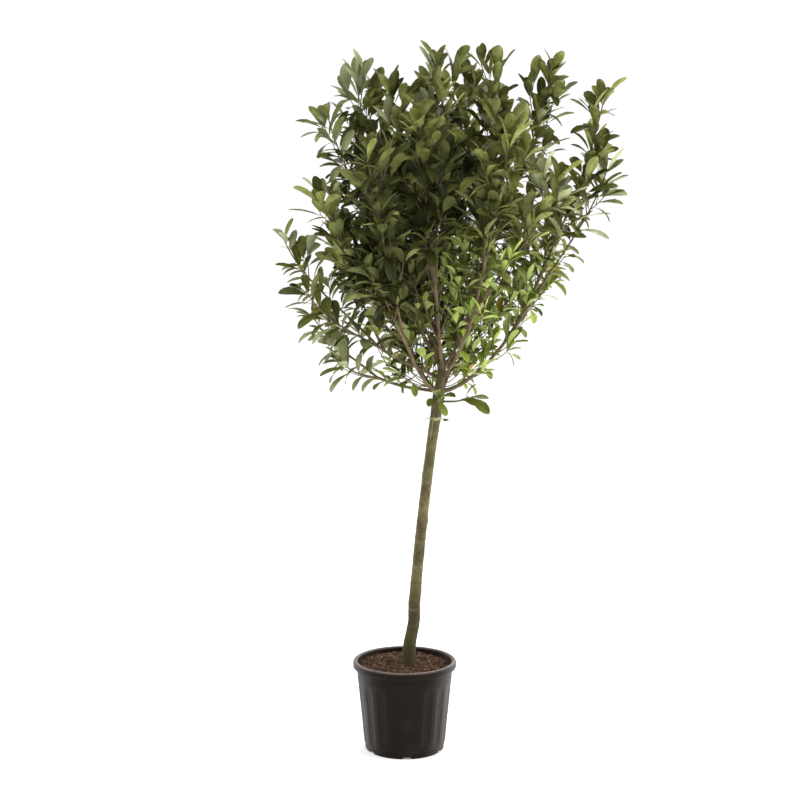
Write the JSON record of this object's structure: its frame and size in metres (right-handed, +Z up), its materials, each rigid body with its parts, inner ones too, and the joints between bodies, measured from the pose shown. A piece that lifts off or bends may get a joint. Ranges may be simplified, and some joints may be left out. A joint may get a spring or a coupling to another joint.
{
  "type": "potted magnolia tree",
  "caption": "Leafy half-standard star magnolia with a slim leaning stem and an open vase-shaped crown, growing in a round black nursery pot filled with bark compost.",
  "frame": {"origin": "the middle of the pot's flat underside, on the surface that the pot stands on", "axes": "+Z up, +X to the right of the picture, which is the way the trunk leans, and -Y to the front, towards the camera"},
  "size_m": [1.1594, 0.941, 2.2436],
  "materials": {
    "pot_plastic": "matte black moulded plastic",
    "bark_compost": "loose brown bark compost",
    "trunk_bark": "smooth olive-brown bark",
    "bough_bark": "smooth grey-brown bark",
    "twine": "pale twine",
    "leaves": "satin olive-green leaves"
  },
  "bodies": {
    "root": {"pot": "pot_plastic", "soil": "bark_compost", "trunk": "trunk_bark", "trunk_tie": "twine", "bough_left_low": "bough_bark", "bough_left_mid": "bough_bark", "bough_left_upper": "bough_bark", "bough_centre_front": "bough_bark", "bough_right_upper": "bough_bark", "bough_right": "bough_bark", "bough_right_inner": "bough_bark", "bough_front_left": "bough_bark", "bough_front_right": "bough_bark", "bough_back_left": "bough_bark", "bough_back_right": "bough_bark", "bough_back_upper": "bough_bark", "foliage_left_low_1": "leaves", "foliage_left_low_2": "leaves", "foliage_left_mid_1": "leaves", "foliage_left_mid_2": "leaves", "foliage_left_mid_3": "leaves", "foliage_left_upper_1": "leaves", "foliage_left_upper_2": "leaves", "foliage_left_upper_3": "leaves", "foliage_centre_front_1": "leaves", "foliage_centre_front_2": "leaves", "foliage_centre_front_3": "leaves", "foliage_right_upper_1": "leaves", "foliage_right_upper_2": "leaves", "foliage_right_1": "leaves", "foliage_right_2": "leaves", "foliage_right_3": "leaves", "foliage_right_inner_1": "leaves", "foliage_right_inner_2": "leaves", "foliage_front_left_1": "leaves", "foliage_front_left_2": "leaves", "foliage_front_left_3": "leaves", "foliage_front_right_1": "leaves", "foliage_front_right_2": "leaves", "foliage_back_left_1": "leaves", "foliage_back_left_2": "leaves", "foliage_back_left_3": "leaves", "foliage_back_right_1": "leaves", "foliage_back_right_2": "leaves", "foliage_back_right_3": "leaves", "foliage_back_upper_1": "leaves", "foliage_back_upper_2": "leaves", "foliage_right_shoot": "leaves", "foliage_front_shoot": "leaves"}
  },
  "joints": []
}
